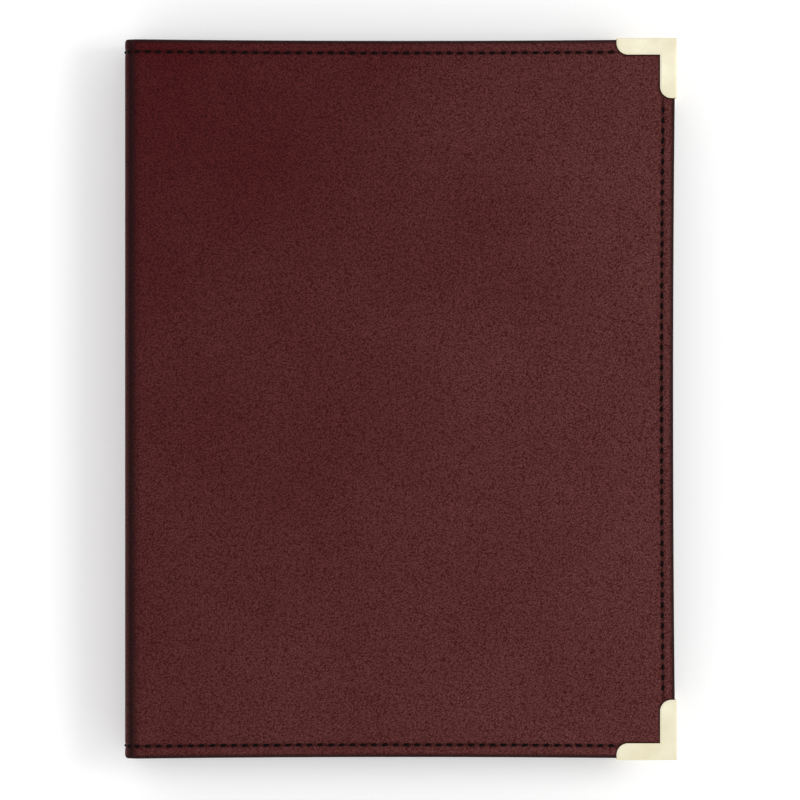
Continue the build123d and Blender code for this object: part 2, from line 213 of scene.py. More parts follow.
def along(q):
    """(y, depth), q along the sheet from the album's middle height."""
    flat = HALF_H - EDGE_R
    out, drop = wrap(np.abs(q) - flat)
    return np.sign(q) * (np.clip(np.abs(q), 0, flat) + out), drop


def plate_depth(x, y):
    """Distance inside the outline of a brass corner's plate; negative outside it."""
    y = np.abs(y)

    def inside(x0, y0):
        """The same for a box from (x0, y0) to the tip, with a rounded lower left corner."""
        dx, dy = x - x0, y - y0
        corner = PLATE_TIP_R - np.hypot(np.minimum(dx - PLATE_TIP_R, 0), np.minimum(dy - PLATE_TIP_R, 0))
        rounded = (dx < PLATE_TIP_R) & (dy < PLATE_TIP_R)
        return np.where(rounded, corner, np.minimum(dx, dy))

    head_leg = inside(PLATE_X, TIP_Y - PLATE_BAND)
    fore_leg = inside(TIP_X - PLATE_BAND, PLATE_Y)
    return np.maximum(head_leg, fore_leg)


def bell(value):
    """1 at 0, falling smoothly to almost 0 at 2 and -2."""
    return np.exp(-(value**2))


def wander(x, y):
    """Slow unevenness, between -1 and 1: a sum of three waves of different lengths and directions."""
    broad = np.sin(x / 23 + 1.3) * np.cos(y / 31 + 0.4)
    slanting = 0.6 * np.sin(x / 11 - y / 17 + 2.1)
    short = 0.4 * np.cos(x / 7.3 + y / 9.1)
    return (broad + slanting + short) / 2


def seam_bells(from_fore, from_end, reach):
    """How near a point is to the seam along head and tail, and to the seam along the fore-edge."""
    return bell((from_end - END_SEAM_INSET) / reach), bell((from_fore - SEAM_INSET) / reach)


def hinge_crease(x, on_cover):
    """How near a point of the hinge is to the crease that is pressed along it."""
    return np.where(on_cover, 0, bell((x - SPINE_X - HINGE_CREASE_X) / HINGE_CREASE_W))


def relief(x, y, on_cover):
    """Height over the flat face: the puffed border and field, the seam's groove, the creases and dents."""
    from_fore = np.where(on_cover, FORE_X - x, FAR)
    from_end = HALF_H - np.abs(y)
    edge = np.minimum(from_fore, from_end)
    wave_x = -np.cos(2 * np.pi * (PLATE_X - x) / PITCH_X)  # 1 at a stitch, -1 between two
    wave_y = np.cos(2 * np.pi * y / PITCH_Y)
    end_seam, fore_seam = seam_bells(from_fore, from_end, GROOVE_W)
    end_seam = end_seam * (1 - GROOVE_WAVE + GROOVE_WAVE * wave_x) * np.where(on_cover, 1, SPINE_GROOVE)
    fore_seam = fore_seam * (1 - GROOVE_WAVE + GROOVE_WAVE * wave_y)
    height = -GROOVE_D * np.maximum(end_seam, fore_seam)
    inner = np.clip(edge - SEAM_INSET, 0, None)
    border = np.sin(np.pi * np.clip(edge / SEAM_INSET, 0, 1))
    crown = PUFF * border
    crown = crown + PUFF * (1 - np.exp(-inner / PUFF_RISE)) * (1 - smooth((inner - PUFF_START) / PUFF_FADE))
    near_end, near_fore = seam_bells(from_fore, from_end, PUCKER_REACH)
    crown = crown - PUCKER * np.where(from_end < from_fore, near_end * wave_x, near_fore * wave_y)
    crown = crown + SWELL * wander(x, y) * smooth(inner / SWELL_EASE)
    height = height + crown * np.where(on_cover, smooth((x - FLAT_X) / HINGE_EASE), 0)
    height = height * smooth(edge / EDGE_R) - HINGE_CREASE_D * hinge_crease(x, on_cover)
    depth = plate_depth(x, y)
    pressed = np.where(on_cover, smooth((depth + PLATE_HALO) / PLATE_HALO), 0)
    height = height * (1 - pressed) - PLATE_PRESS * pressed
    under = np.where(on_cover, smooth(depth / FINE), 0)
    return height * (1 - under) - PLATE_SINK * under


def crease(p, q):
    """Dark dye and painted shade that a point holds, from 0 to 1: in the seam, at the rim, by the plates and
    on the hinge.
    """
    x, drop, _, _ = across(p)
    y, turn = along(q)
    on_cover = p >= FLAT_START
    from_fore = np.where(on_cover, FORE_X - x, FAR)
    from_end = HALF_H - np.abs(y)
    seam = SEAM_DYE_AND_SHADE * np.maximum(*seam_bells(from_fore, from_end, DYE_AND_SHADE_W))
    rim = 1 - smooth((np.minimum(from_fore, from_end) - RIM_CORE) / RIM_FADE)
    upright = smooth((np.maximum(np.where(on_cover, drop, 0), turn) - EDGE_R) / EDGE_R)
    beside = np.where(on_cover, smooth((plate_depth(x, y) + PLATE_HALO) / PLATE_HALO), 0)
    from_fold = x - SPINE_X - HINGE_CREASE_X
    fold = bell(from_fold / np.where(from_fold < 0, HINGE_CREASE_W, FOLD_FADE))
    return np.maximum(np.maximum(seam, rim * (1 - WALL_LIGHT * upright)), np.maximum(beside, fold))


def waist(x, y):
    """Draws the fore-edge, head and tail in a little between the corners."""
    reach_x = smooth(x / FORE_X)
    reach_y = smooth(np.abs(y) / HALF_H)
    new_x = x - WAIST_X * reach_x * (1 - (y / HALF_H) ** 2)
    middle = (FORE_X + FLAT_X) / 2
    new_y = y - np.sign(y) * WAIST_Y * reach_y * np.clip(1 - ((x - middle) / (FORE_X - middle)) ** 2, 0, 1)
    return new_x, new_y


def end_share(p):
    """How deep the skin turns in at head and tail, as a share of a cover's: the spine is thinner."""
    share = (SPINE_IN_X - LINING_T - SPINE_X) / HEM_DEPTH
    return share + (1 - share) * smooth((p - SPINE_RUN) / HINGE_RUN)


def sheet_point(p, q, lift=0.0):
    """Points of the skin's outer surface, (x, y, depth), for sheet positions p and q."""
    x, depth, nx, nd = across(p)
    y, turn = along(q)
    on_cover = p >= FLAT_START
    turned_in = (depth > EDGE_R) & on_cover | (turn > EDGE_R)
    height = np.where(turned_in, 0, relief(x, y, on_cover)) + lift
    turn = turn * end_share(p)
    on_x = x + np.where(on_cover, 0, nx * (turn - height))
    on_depth = np.where(on_cover, np.maximum(depth, turn) - height, depth + nd * (turn - height))
    on_x, y = waist(on_x, y)
    return np.stack(np.broadcast_arrays(on_x, y, on_depth), axis=-1)


def to_side(points, front):
    """(x, y, depth) in millimetres to the album's own metres, on the back or mirrored to the front."""
    out = np.array(points, float)
    if front:
        out[..., 2] = ALBUM_T - out[..., 2]
    return out * MM


def new_mesh(name, verts, faces, material, uvs=None, mark=None):
    """A mesh object. mark is a number from 0 to 1 for each point, which the material reads."""
    mesh = bpy.data.meshes.new(name)
    mesh.from_pydata([tuple(v) for v in verts], [], [tuple(f) for f in faces])
    if uvs is not None:
        layer = mesh.uv_layers.new(name="sheet")
        loops = np.zeros(len(mesh.loops), np.int32)
        mesh.loops.foreach_get("vertex_index", loops)
        layer.data.foreach_set("uv", np.asarray(uvs, np.float32)[loops].ravel())
    if mark is not None:
        layer = mesh.attributes.new("mark", "FLOAT", "POINT")
        layer.data.foreach_set("value", np.asarray(mark, np.float32).ravel())
    mesh.polygons.foreach_set("use_smooth", [True] * len(mesh.polygons))
    mesh.materials.append(material)
    mesh.update()
    obj = bpy.data.objects.new(name, mesh)
    bpy.context.scene.collection.objects.link(obj)
    return obj


def grid_faces(rows, columns, keep=None, flip=False):
    """Quads of a grid of rows x columns points."""
    i, j = np.meshgrid(np.arange(rows - 1), np.arange(columns - 1), indexing="ij")
    a = i * columns + j
    quads = np.stack([a, a + 1, a + columns + 1, a + columns], axis=-1)
    if keep is not None:
        quads = quads[keep]
    quads = quads.reshape(-1, 4)
    return quads[:, ::-1] if flip else quads


def merged(*runs):
    """Sorted grid lines with near doubles removed."""
    lines = np.unique(np.round(np.concatenate(runs), 4))
    keep = np.concatenate([[True], np.diff(lines) > CLOSEST])
    return lines[keep]


def fine_lines(edge, plate):
    """Extra grid lines of the flat, near the seam and near the ends of the corner's legs."""
    near_edge = np.arange(edge - FINE_REACH, edge - EDGE_R, FINE)
    near_leg = np.arange(plate - 2 * FINE, plate + PLATE_TIP_R + 2 * FINE, FINE)
    return near_edge, near_leg


def wrap_lines(start):
    """Grid lines of a sheet's turned edge: its first roll, the drop, the second roll and the hem."""
    around, drop, under, hem = WRAP_RUNS
    steps = [around * k / 4 for k in range(5)]
    steps += [around + drop * k / 2 for k in (1, 2)]
    steps += [around + drop + under * k / 3 for k in (1, 2, 3)]
    steps += [around + drop + under + hem * k / 5 for k in range(1, 6)]
    return start + np.array(steps)


def sheet_lines():
    """Grid lines across and along the skin; half the stitch pitch apart, and finer near the seam."""
    flat_end = FLAT_START + FORE_X - EDGE_R - FLAT_X
    to_p = FLAT_START - FLAT_X
    half_x = np.arange(PLATE_X + to_p, 0, -PITCH_X / 2)
    near_edge, near_leg = fine_lines(FORE_X + to_p, PLATE_X + to_p)
    hinge = SPINE_RUN + HINGE_STEP * np.arange(HINGE_STEPS + 2)
    half_x = half_x[(half_x < SPINE_RUN - 1) | (half_x > FLAT_START + 1)]
    lines_p = merged([0.0], half_x, hinge, near_leg, near_edge, wrap_lines(flat_end))
    half_y = np.arange(0, HALF_H - FINE_REACH, PITCH_Y / 2)
    near_edge, near_leg = fine_lines(HALF_H, PLATE_Y)
    half_q = merged(half_y, near_leg, near_edge, wrap_lines(HALF_H - EDGE_R))
    return lines_p, np.concatenate([-half_q[:0:-1], half_q])


def faces_to_keep(x, y, lines_p, lines_q):
    """False for hems past a corner's diagonal, and for the flat hem that spine and hinge don't have."""
    hem_start_p = FLAT_START + FORE_X - EDGE_R - FLAT_X + sum(WRAP_RUNS[:3])
    hem_start_q = HALF_H - EDGE_R + sum(WRAP_RUNS[:3])
    mid_p = (lines_p[1:] + lines_p[:-1]) / 2
    mid_q = np.abs(lines_q[1:] + lines_q[:-1]) / 2
    hem_p, hem_q = (mid_p > hem_start_p)[:, None], (mid_q > hem_start_q)[None, :]
    centre_x = (x[1:, 1:] + x[:-1, :-1]) / 2
    centre_y = np.abs(y[1:, 1:] + y[:-1, :-1]) / 2
    from_fore, from_end = FORE_X - centre_x, HALF_H - centre_y
    past_diagonal = (hem_p & (from_end < from_fore)) | (hem_q & (from_fore < from_end)) | (hem_p & hem_q)
    on_hinge = ((mid_p > SPINE_RUN) & (mid_p < FLAT_START))[:, None]
    past_roll = (mid_q > HALF_H - EDGE_R + WRAP_RUNS[0])[None, :]
    off_cover = (mid_p < FLAT_START + HINGE_STEP)[:, None]
    no_hem = (off_cover & hem_q) | (on_hinge & past_roll)
    return ~(past_diagonal | no_hem)


def bend_points(front):
    """Start (at the cover) and end (at the spine) of a sheet's bend, in metres."""
    step = math.sqrt(0.5)
    ends = [(FLAT_X - step * s, 0.0, step * s) for s in (BEND_START, BEND_END)]
    return [Vector(to_side(np.array(e), front)) for e in ends]


def blend_to_spine(obj, front):
    """Bakes a sheet's placement into its mesh. It finds where a bend over the hinge would start and end, but
    bends nothing.
    """
    start, end = bend_points(front)
    if front:
        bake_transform(obj)
    else:
        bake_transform(obj)


def make_skin(front, material):
    """One half of the case's skin: a cover's outer face, its hems, the hinge and half of the spine."""
    side = "front" if front else "back"
    lines_p, lines_q = sheet_lines()
    p, q = np.meshgrid(lines_p, lines_q, indexing="ij")
    points = sheet_point(p, q)
    keep = faces_to_keep(points[..., 0], points[..., 1], lines_p, lines_q)
    faces = grid_faces(len(lines_p), len(lines_q), keep, flip=front)
    uvs = np.stack([-p if front else p, q], axis=-1).reshape(-1, 2) * MM
    points = to_side(points, front).reshape(-1, 3)
    obj = new_mesh(f"{side}_case_skin", points, faces, material, uvs, crease(p, q))
    thicken(obj, SKIN_T)
    sharpen_rim(obj)
    blend_to_spine(obj, front)
    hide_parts(f"{side}_cover_skin", f"{side}_hinge_skin")
    return obj


def thicken(obj, thickness):
    """Gives a sheet its thickness, inwards from the surface it was drawn on, and drops loose points."""
    drop_loose(obj)
    solid = obj.modifiers.new("thickness", "SOLIDIFY")
    solid.thickness = thickness * MM
    solid.offset = -1.0
    solid.use_even_offset = False


def sharpen_rim(obj):
    """Shades a sheet's cut edges sharp, so that the two halves meet without a line."""
    work = bmesh.new()
    work.from_mesh(obj.data)
    for edge in work.edges:
        edge.smooth = not edge.is_boundary
    work.to_mesh(obj.data)
    work.free()


def drop_loose(obj):
    """Deletes points that belong to no face."""
    work = bmesh.new()
    work.from_mesh(obj.data)
    bmesh.ops.delete(work, geom=[v for v in work.verts if not v.link_faces], context="VERTS")
    work.to_mesh(obj.data)
    work.free()


def stitch_centres():
    """(p, q, runs along p) of every stitch on the outer face of one cover and half the spine."""
    to_p = FLAT_START - FLAT_X
    seam_q = HALF_H - END_SEAM_INSET
    seam_p = FORE_X - SEAM_INSET + to_p
    found = []
    first = PLATE_X + to_p - PITCH_X / 2
    for k in range(int(first // PITCH_X) + 1):
        for sign in (-1, 1):
            found.append((first - k * PITCH_X, sign * seam_q, True))
    reach = int((PLATE_Y - STITCH_L / 2) // PITCH_Y)
    for k in range(-reach, reach + 1):
        found.append((seam_p, k * PITCH_Y, False))
    return found


def stitch_shares():
    """Places of a stitch's rings along the seam, measured from its middle."""
    return np.array([share for share, _, _ in STITCH_RINGS]) * STITCH_L / 2


def add_stitch(verts, faces, centre_line, normal, side):
    """One stitch: a plump capsule whose ends dive into the sheet."""
    first = len(verts)
    last = first + (len(STITCH_RINGS) - 1) * STITCH_SIDES
    for (_, radius, lift), centre in zip(STITCH_RINGS, centre_line):
        for k in range(STITCH_SIDES):
            a = 2 * math.pi * k / STITCH_SIDES
            offset = normal * (math.sin(a) * radius * STITCH_FLAT + lift) + side * math.cos(a) * radius
            verts.append(centre + offset)
    for ring in range(first, last, STITCH_SIDES):
        for k in range(STITCH_SIDES):
            a, b = ring + k, ring + (k + 1) % STITCH_SIDES
            faces.append((a, b, b + STITCH_SIDES, a + STITCH_SIDES))
    faces.append(tuple(first + k for k in range(STITCH_SIDES))[::-1])
    faces.append(tuple(last + k for k in range(STITCH_SIDES)))


def make_seam(front, material):
    """Thread of the outer seam on one cover, over the hinge and half way over the spine."""
    side_name = "front" if front else "back"
    verts, faces = [], []
    for p, q, runs_p in stitch_centres():
        share = stitch_shares()
        cross = share * STITCH_SLANT
        ps = p + share if runs_p else p + cross
        qs = q + cross if runs_p else q + share
        line = sheet_point(ps, qs)
        _, _, nx, nd = across(np.array([p]))
        normal = np.array([-nx[0], 0.0, -nd[0]])
        way = line[-1] - line[0]
        way = way / np.linalg.norm(way)
        sideways = np.cross(normal, way)
        add_stitch(verts, faces, line, normal, sideways)
    obj = new_mesh(f"{side_name}_seam_thread", to_side(np.array(verts), front), faces, material)
    recalc_normals(obj)
    blend_to_spine(obj, front)
    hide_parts(f"{side_name}_cover_thread")
    return obj


def make_lining_seam(front, material):
    """The same seam's thread on the lining side of a cover."""
    side_name = "front" if front else "back"
    verts, faces = [], []
    up = np.array([0.0, 0.0, 1.0])
    for p, q, runs_p in stitch_centres():
        if p < FLAT_START + STITCH_L:
            continue
        share = stitch_shares()
        still = np.zeros(len(share))
        x = across(np.array([p]))[0][0]
        xs = x + (share if runs_p else still)
        ys = q + (still if runs_p else share)
        xs, ys = waist(xs, ys)
        line = np.stack([xs, ys, np.full(len(share), COVER_T)], axis=-1)
        way = np.array([1.0, 0, 0]) if runs_p else np.array([0, 1.0, 0])
        add_stitch(verts, faces, line, up, np.cross(up, way))
    obj = new_mesh(f"{side_name}_lining_thread", to_side(np.array(verts), front), faces, material)
    recalc_normals(obj)
    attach(obj, f"{side_name}_cover")
    return obj


def recalc_normals(obj):
    """Turns the faces of a closed mesh outwards."""
    work = bmesh.new()
    work.from_mesh(obj.data)
    bmesh.ops.recalc_face_normals(work, faces=work.faces)
    work.to_mesh(obj.data)
    work.free()


def lining_path():
    """The lining's visible side, from the spine's middle through the hinge groove to the fore-edge."""
    groove_r = HINGE_R - SKIN_T - LINING_T
    wall_x = FLAT_X + LINING_T
    end_x = FORE_X - LINING_GAP
    brink = HINGE_R + LINING_T  # where the lining leaves the spine and turns down into the groove
    under = COVER_T - LINING_ROUND
    points = [(SPINE_IN_X, d) for d in np.linspace(ALBUM_T / 2, brink + 0.6, 6)]
    points += [(SPINE_IN_X - 0.3, brink + 0.15), (SPINE_IN_X - 0.9, brink - LINING_T / 2)]
    for a in np.linspace(0, math.pi / 2, 9):
        points.append((FLAT_X - groove_r * math.cos(a), HINGE_R - groove_r * math.sin(a)))
    points += [(wall_x, 2.4), (wall_x, 4.4), (wall_x + LINING_ROUND, under), (wall_x + 0.9, COVER_T)]
    points += [(x, COVER_T) for x in np.linspace(wall_x + 4, end_x - 8, 40)]
    points += [(end_x - step, COVER_T) for step in LINING_EDGE_STEPS]
    points.append((end_x - 0.1, under))
    return np.array(points)


def make_lining(front, material):
    """One half of the lining: a cover's inner face, the hinge groove and half of the spine."""
    side = "front" if front else "back"
    path = lining_path()
    reach = HALF_H - LINING_GAP
    middle = np.linspace(0, reach - 12, 30)
    ends = reach - np.array(LINING_END_STEPS)
    rows = np.unique(np.round(np.concatenate([middle, ends]), 3))
    rows = np.concatenate([-rows[:0:-1], rows])
    x, y = np.meshgrid(path[:, 0], rows, indexing="ij")
    depth = np.broadcast_to(path[:, 1][:, None], x.shape)
    from_edge = np.minimum(FORE_X - x, HALF_H - np.abs(y))
    dimple = DIMPLE_D * bell((from_edge - SEAM_INSET) / DIMPLE_W) * (depth > COVER_T - TOUCH / 2)
    on_cover = x > FLAT_X + 4
    new_x, new_y = waist(x, y)
    x, y = np.where(on_cover, new_x, x), np.where(on_cover, new_y, y)
    points = np.stack([x, y, depth - dimple], axis=-1)
    length = np.concatenate([[0], np.cumsum(np.hypot(*np.diff(path, axis=0).T))])
    uvs = np.stack(np.meshgrid(length, rows, indexing="ij"), axis=-1).reshape(-1, 2) * MM
    faces = grid_faces(len(path), len(rows), flip=not front)
    obj = new_mesh(f"{side}_case_lining", to_side(points, front).reshape(-1, 3), faces, material, uvs)
    thicken(obj, LINING_T * LINING_SHARE)
    sharpen_rim(obj)
    blend_to_spine(obj, front)
    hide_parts(f"{side}_cover_lining", f"{side}_hinge_lining")
    return obj


def foam_layers():
    """The foam pad's two faces, (x, y, depth): crowned a little, and rolled together round the rim."""
    low, high = box_mm("back_cover_foam")
    half_x, half_y = (high[0] - low[0]) / 2, high[1]
    thickness = high[2] - low[2]
    u, v = np.meshgrid(np.linspace(-1, 1, FOAM_ROWS), np.linspace(-1, 1, FOAM_COLUMNS), indexing="ij")
    u = np.copysign(np.abs(u) ** FOAM_CROWD, u)
    v = np.copysign(np.abs(v) ** FOAM_CROWD, v)
    edge = np.minimum((1 - np.abs(u)) * half_x, (1 - np.abs(v)) * half_y)
    rolled = np.sqrt(np.clip(1 - (1 - np.minimum(edge / thickness, 1)) ** 2, 0, None))
    sag = FOAM_SAG * np.sin(u * 9) * np.cos(v * 11)
    lift = thickness / 2 * (FOAM_RIM + FOAM_CROWN * rolled) - np.abs(sag)
    x, y = (high[0] + low[0]) / 2 + u * half_x, v * half_y
    middle = (low[2] + high[2]) / 2
    return [np.stack([x, y, middle + way * lift], axis=-1).reshape(-1, 3) for way in (-1, 1)]


def foam_rim():
    """Numbers of the points round the edge of a foam layer, in order."""
    first = [i * FOAM_COLUMNS for i in range(FOAM_ROWS)]
    second = [(FOAM_ROWS - 1) * FOAM_COLUMNS + j for j in range(1, FOAM_COLUMNS)]
    third = [i * FOAM_COLUMNS + FOAM_COLUMNS - 1 for i in range(FOAM_ROWS - 2, -1, -1)]
    return first + second + third + list(range(FOAM_COLUMNS - 2, 0, -1))


def make_foam(front, material):
    """The foam pad between a cover's board and its skin."""
    side = "front" if front else "back"
    verts = np.concatenate(foam_layers())
    layer = FOAM_ROWS * FOAM_COLUMNS
    faces = [tuple(f) for f in grid_faces(FOAM_ROWS, FOAM_COLUMNS)]
    faces += [tuple(layer + k for k in f[::-1]) for f in faces]
    rim = foam_rim()
    faces += [(a, b, b + layer, a + layer) for a, b in zip(rim, rim[1:] + rim[:1])]
    obj = new_mesh(f"{side}_foam_pad", to_side(verts, front), faces, material)
    recalc_normals(obj)
    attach(obj, f"{side}_cover")
    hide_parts(f"{side}_cover_foam")
    return obj


# ---- pocket pages, drawn lying flat: x out from the ring axis, z up from the page's middle ----

RING_AXIS = (-106.2, 20.0)
RING_R = 11.0
RING_PITCH = 107.95
PAGE_COUNT = 8
PAGE_W = 216.0
PAGE_H = 279.4
PAGE_EDGE = 1.5
PAGE_PITCH = 1.486
PAGE_SLOPE = math.radians(2.0)
PAGE_T = 1.05
FILM_T = 0.25
CARD_TOP = -0.025
BINDING_W = 20.0
WELD_W = 1.6
COLUMNS = 4
ROWS = 5
ROW_LIP = 5.0
HOLE_L = 8.0
HOLE_W = 5.5
BULGE = 0.13
BULGE_EASE = 12.0  # the back film starts to bulge this far from its welds
WAVE_STRETCH = 1.3
POCKET_RISE = 2.2  # width of the step from a weld up to the pocket's front
WELD_STEPS = np.array([0.4, 0.8, 1.6, 3.0, 5.5])  # grid lines of a pocket beside a weld, measured from it
POCKET_STEPS = (14, 24, 34, 42, 47)  # the other grid lines up a pocket, measured from its row's foot
HOLE_SIDES = 24


def place_page(points, number):
    """Page points to the album's own metres, at the page's place on the rings of the closed album."""
    x, y, z = np.array(points, float).T
    z = z + PAGE_PITCH * ((PAGE_COUNT + 1) / 2 - number)
    turned_x = x * math.cos(PAGE_SLOPE) + z * math.sin(PAGE_SLOPE)
    turned_z = z * math.cos(PAGE_SLOPE) - x * math.sin(PAGE_SLOPE)
    return np.stack([turned_x + RING_AXIS[0], y, turned_z + RING_AXIS[1]], axis=-1) * MM


def ring_hole(y):
    """Outline of one oblong ring hole."""
    radius, straight = HOLE_W / 2, (HOLE_L - HOLE_W) / 2
    outline = []
    for k in range(HOLE_SIDES):
        a = 2 * math.pi * (k + 0.5) / HOLE_SIDES
        x = RING_R + math.copysign(straight, math.cos(a)) + radius * math.cos(a)
        outline.append((x, y + radius * math.sin(a)))
    return outline


def binding_strip(z):
    """(points, faces, marks) of the film's punched strip along the rings, seen from below."""
    x0, x1, half = PAGE_EDGE, PAGE_EDGE + BINDING_W, PAGE_H / 2
    loops = [[(x0, -half), (x1, -half), (x1, half), (x0, half)]]
    loops += [ring_hole(RING_PITCH * k) for k in (-1, 0, 1)]
    lines = [[Vector((x, y, 0)) for x, y in loop] for loop in loops]
    flat = [(x, y, z) for loop in loops for x, y in loop]
    faces = []
    for a, b, c in tessellate_polygon(lines):
        (ax, ay, _), (bx, by, _), (cx, cy, _) = flat[a], flat[b], flat[c]
        upward = (bx - ax) * (cy - ay) - (by - ay) * (cx - ax) > 0
        faces.append((c, b, a) if upward else (a, b, c))
    return flat, faces, [0.0] * len(flat)


def back_film(z):
    """(points, faces, marks) of the back film behind the pockets, very slightly wavy."""
    xs = np.linspace(PAGE_EDGE + BINDING_W, PAGE_EDGE + PAGE_W, 45)
    ys = np.linspace(-PAGE_H / 2, PAGE_H / 2, 56)
    x, y = np.meshgrid(xs, ys, indexing="ij")
    edge = np.minimum(np.minimum(x - xs[0], xs[-1] - x), PAGE_H / 2 - np.abs(y))
    height = z - BULGE / 2 * (1 + wander(x * WAVE_STRETCH, y)) * smooth(edge / BULGE_EASE)
    points = np.stack([x, y, height], axis=-1).reshape(-1, 3)
    quads = [tuple(f) for f in grid_faces(len(xs), len(ys))]
    return [tuple(v) for v in points], quads, [0.0] * len(points)


def pocket_row(row):
    """(points, faces, marks) of a row's front film. It bulges over each pocket, and a weld's mark is 1."""
    x0, x1 = PAGE_EDGE + BINDING_W, PAGE_EDGE + PAGE_W
    column_w = (x1 - x0 - WELD_W) / COLUMNS
    row_h = PAGE_H / ROWS
    y0 = -PAGE_H / 2 + row * row_h
    lines = [x0, x0 + WELD_W]
    for column in range(COLUMNS):
        start = x0 + column * column_w + WELD_W
        end = start + column_w - WELD_W
        lines += [*(start + WELD_STEPS), *np.linspace(start + 9, end - 9, 5), *(end - WELD_STEPS[::-1])]
        lines += [end, end + WELD_W]
    xs = np.array(lines)
    ys = np.array([0, WELD_W, *(WELD_W + WELD_STEPS), *POCKET_STEPS, row_h - ROW_LIP]) + y0
    x, y = np.meshgrid(xs, ys, indexing="ij")
    in_column = (x - x0) % column_w
    from_weld = np.clip(np.minimum(in_column - WELD_W, column_w - in_column), 0, None)
    from_foot = np.clip(y - y0 - WELD_W, 0, None)
    rise = smooth(np.minimum(from_weld, from_foot) / POCKET_RISE)
    rim = np.minimum(x - x0, x1 - x)
    if row == 0:
        rim = np.minimum(rim, y - y0)
    foot = np.where(rim < WELD_W + TOUCH, FILM_T - PAGE_T / 2, CARD_TOP) + FILM_T + TOUCH
    middle = np.sin(np.pi * np.clip(from_weld / (column_w - WELD_W), 0, 0.5))
    height = foot + (PAGE_T / 2 + BULGE * middle - foot) * rise
    points = np.stack([x, y, height], axis=-1).reshape(-1, 3)
    welded = 1 - smooth(np.minimum(from_weld, from_foot) / WELD_STEPS[0])
    quads = [tuple(f) for f in grid_faces(len(xs), len(ys), flip=True)]
    return [tuple(v) for v in points], quads, list(welded.ravel())


def make_page_film(number, material):
    """A page's clear sleeve: the punched back film and five rows of welded pockets."""
    verts, faces, marks = [], [], []
    outside = -PAGE_T / 2
    films = [binding_strip(outside), back_film(outside)] + [pocket_row(row) for row in range(ROWS)]
    for points, quads, welded in films:
        faces += [tuple(k + len(verts) for k in quad) for quad in quads]
        verts += points
        marks += welded
    obj = new_mesh(f"page_{number}_film", place_page(verts, number), faces, material, mark=marks)
    thicken(obj, FILM_T - TOUCH)
    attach(obj, f"page_{number}")
    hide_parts(f"page_{number}_sleeve")
    return obj


# ---- materials ----


class Nodes:
    """A short way to build a node tree."""

    def __init__(self, name):
        self.material = bpy.data.materials.new(name)
        self.material.use_nodes = True
        self.tree = self.material.node_tree
        self.shader = self.tree.nodes["Principled BSDF"]

    def add(self, kind, inputs=None, **settings):
        """Adds a node. Inputs are values or other nodes' outputs."""
        node = self.tree.nodes.new(kind)
        for key, value in settings.items():
            setattr(node, key, value)
        for key, value in (inputs or {}).items():
            self.put(node, key, value)
        return node

    def put(self, node, key, value):
        """Links a socket to an output, or sets its value."""
        socket = node.inputs[key]
        if isinstance(value, bpy.types.NodeSocket):
            self.tree.links.new(value, socket)
        else:
            socket.default_value = value

    def set(self, key, value):
        """Puts a value or an output on the shader's own socket."""
        self.put(self.shader, key, value)

    def math(self, operation, a, b=0.0, c=0.0):
        return self.add("ShaderNodeMath", {0: a, 1: b, 2: c}, operation=operation).outputs[0]

    def noise(self, vector, scale, detail=2.0, roughness=0.5, distortion=0.0):
        node = self.add("ShaderNodeTexNoise", {"Vector": vector, "Scale": scale, "Detail": detail,
                                               "Roughness": roughness, "Distortion": distortion})
        return node.outputs["Fac"]

    def cells(self, vector, scale):
        """Distance to the nearest of many scattered points."""
        return self.add("ShaderNodeTexVoronoi", {"Vector": vector, "Scale": scale}).outputs["Distance"]

    def bands(self, vector, scale, distortion, direction, detail=2.0):
        node = self.add("ShaderNodeTexWave", {"Vector": vector, "Scale": scale, "Distortion": distortion,
                                              "Detail": detail}, bands_direction=direction)
        return node.outputs["Fac"]

    def ramp(self, factor, stops):
        """Colours by factor. Each stop is (place, colour)."""
        node = self.add("ShaderNodeValToRGB", {"Fac": factor})
        elements = node.color_ramp.elements
        while len(elements) < len(stops):
            elements.new(0.5)
        for element, (place, colour) in zip(elements, stops):
            element.position = place
            element.color = (*colour, 1.0) if len(colour) == 3 else colour
        return node.outputs["Color"]

    def grey(self, factor, stops):
        """Like ramp, with one brightness for each stop."""
        return self.ramp(factor, [(place, (v, v, v)) for place, v in stops])

    def bump(self, height, distance, strength=1.0):
        inputs = {"Height": height, "Distance": distance, "Strength": strength}
        return self.add("ShaderNodeBump", inputs).outputs["Normal"]

    def mix(self, factor, a, b, blend="MIX"):
        node = self.add("ShaderNodeMix", {"Factor": factor}, data_type="RGBA", blend_type=blend)
        self.put(node, 6, a)
        self.put(node, 7, b)
        return node.outputs[2]

    def object_coords(self):
        return self.add("ShaderNodeTexCoord").outputs["Object"]

    def mark(self):
        """The number from 0 to 1 that a mesh stores for each point."""
        return self.add("ShaderNodeAttribute", attribute_name="mark").outputs["Fac"]

    def sheet_coords(self):
        """Metres along and across the flat sheet."""
        return self.add("ShaderNodeUVMap", uv_map="sheet").outputs["UV"]


def wrinkles(n, coords, scale, angle, stretch):
    """Coordinates for grain drawn out along one direction."""
    return n.add("ShaderNodeMapping", {"Vector": coords, "Rotation": (0, 0, angle),
                                       "Scale": (stretch / scale, 1 / scale, 1.0)},
                 vector_type="TEXTURE").outputs["Vector"]


BURGUNDY = (0.055, 0.0034, 0.0046)
# the paler colour that the painted sheen takes the leatherette to
SHEEN_BURGUNDY = (0.077, 0.0082, 0.0066)
# near-black of the dark dye and painted shade in the seams, creases, at the rim and by the plates
DYE_AND_SHADE = (0.012, 0.0012, 0.0014, 1.0)
DYE_AND_SHADE_COVER = 0.92  # share of the colour that the dye and painted shade take where the mark is 1
